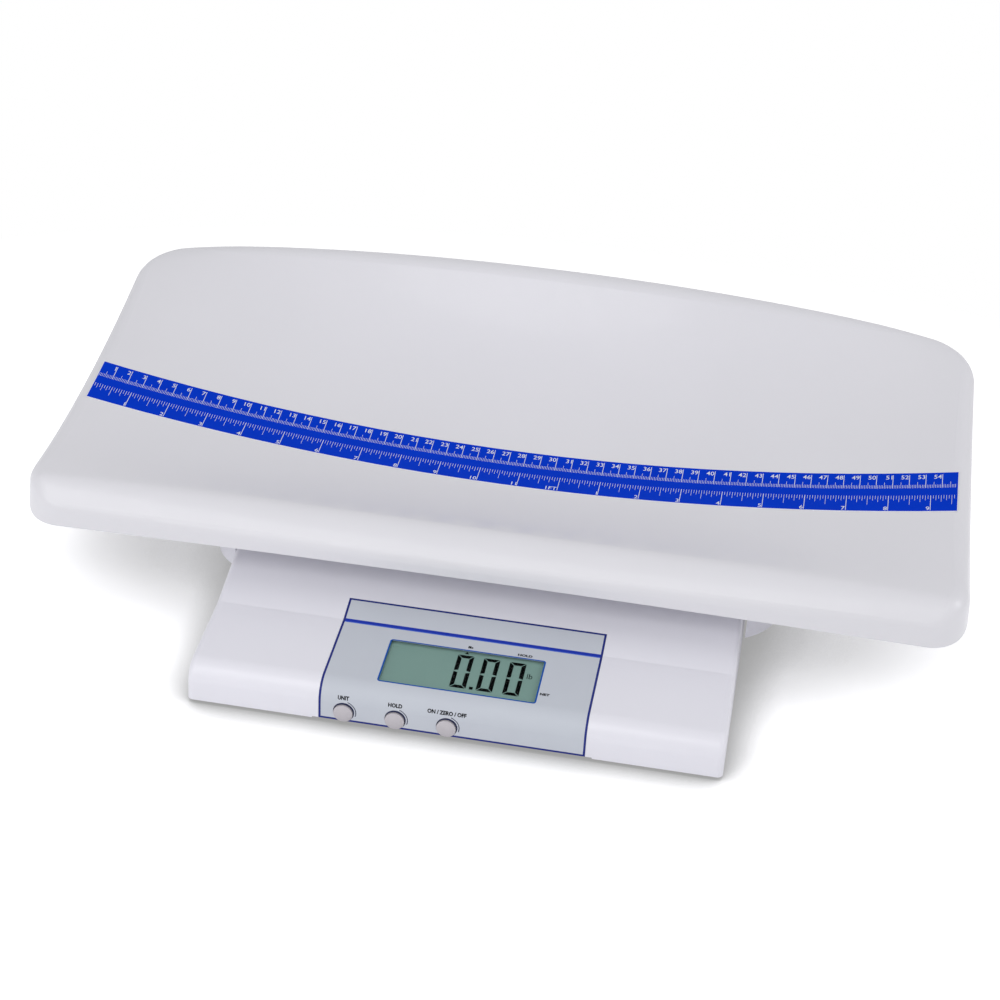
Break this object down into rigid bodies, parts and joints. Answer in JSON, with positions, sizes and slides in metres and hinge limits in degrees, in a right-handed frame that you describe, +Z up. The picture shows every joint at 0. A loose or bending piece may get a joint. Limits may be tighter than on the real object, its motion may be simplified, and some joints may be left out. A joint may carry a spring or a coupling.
{
  "type": "digital baby weighing scale",
  "caption": "Digital baby scale: a curved saddle-shaped tray with a measuring tape, lifting off a sprung weighing platform over a low console base with a sloped display and press buttons.",
  "frame": {"origin": "centre of the object's bounding box in plan, on the surface the feet stand on", "axes": "+Z up, +X to the right along the tray, -Y towards the user, with the display and buttons at the front"},
  "size_m": [0.5662, 0.3366, 0.1356],
  "materials": {
    "tray_plastic": "semi-gloss moulded, white with a cool tint",
    "tape_film": "printed film, blue with white markings",
    "housing_plastic": "fine satin, white with a cool tint",
    "plate_plastic": "fine texture",
    "panel_film": "printed film, pale blue-grey with blue lines",
    "clear_window": "clear acrylic",
    "lcd_glass": "grey-green display",
    "frame_plastic": "matte",
    "button_plastic": "satin domes",
    "rubber": "matte",
    "plate_steel": "zinc plated sheet",
    "screw_steel": "zinc plated",
    "cell_aluminium": "milled",
    "cable_jacket": "satin",
    "circuit_board": "solder mask",
    "switch_plastic": "matte",
    "battery_wrap": "printed wrap",
    "contact_metal": "nickel plated"
  },
  "bodies": {
    "base": {"base_housing": "housing_plastic", "base_plate": "plate_plastic", "feet": "rubber", "housing_screws": "screw_steel", "panel_film": "panel_film", "lcd_window": "clear_window", "lcd_glass": "lcd_glass", "lcd_frame": "frame_plastic", "main_board": "circuit_board", "board_screws": "screw_steel", "switch_board": "circuit_board", "tact_switches": "switch_plastic", "batteries": "battery_wrap", "battery_contacts": "contact_metal", "dc_jack": "switch_plastic", "load_cell": "cell_aluminium", "load_cell_spacer": "cell_aluminium", "load_cell_bolts": "screw_steel", "load_cell_cable": "cable_jacket", "overload_stops": "rubber"},
    "platform": {"platform_cap": "housing_plastic", "platform_plate": "plate_steel", "platform_screws": "screw_steel", "platform_spacer": "cell_aluminium", "platform_bolts": "screw_steel", "tray_pads": "rubber"},
    "tray": {"tray": "tray_plastic", "measuring_tape": "tape_film"},
    "unit_button": {"button_unit": "button_plastic"},
    "hold_button": {"button_hold": "button_plastic"},
    "power_button": {"button_power": "button_plastic"},
    "battery_door": {"battery_door": "plate_plastic"}
  },
  "joints": [
    {"name": "platform_sink", "type": "slide", "parent": "base", "child": "platform", "axis": [0, 0, -1], "range_m": [0, 0.0005], "stiffness_N_per_m": 40000, "springref_m": -0.001, "deforming": ["load_cell"]},
    {"name": "tray_lift", "type": "slide", "parent": "platform", "child": "tray", "axis": [0, 0, 1], "range_m": [0, 0.04]},
    {"name": "unit_press", "type": "slide", "parent": "base", "child": "unit_button", "axis": [0, 1, 0], "range_m": [0, 0.0007], "stiffness_N_per_m": 800, "springref_m": -0.0003},
    {"name": "hold_press", "type": "slide", "parent": "base", "child": "hold_button", "axis": [0, 1, 0], "range_m": [0, 0.0007], "stiffness_N_per_m": 800, "springref_m": -0.0003},
    {"name": "power_press", "type": "slide", "parent": "base", "child": "power_button", "axis": [0, 1, 0], "range_m": [0, 0.0007], "stiffness_N_per_m": 800, "springref_m": -0.0003},
    {"name": "door_slide", "type": "slide", "parent": "base", "child": "battery_door", "axis": [0, 1, 0], "range_m": [0, 0.105]}
  ]
}
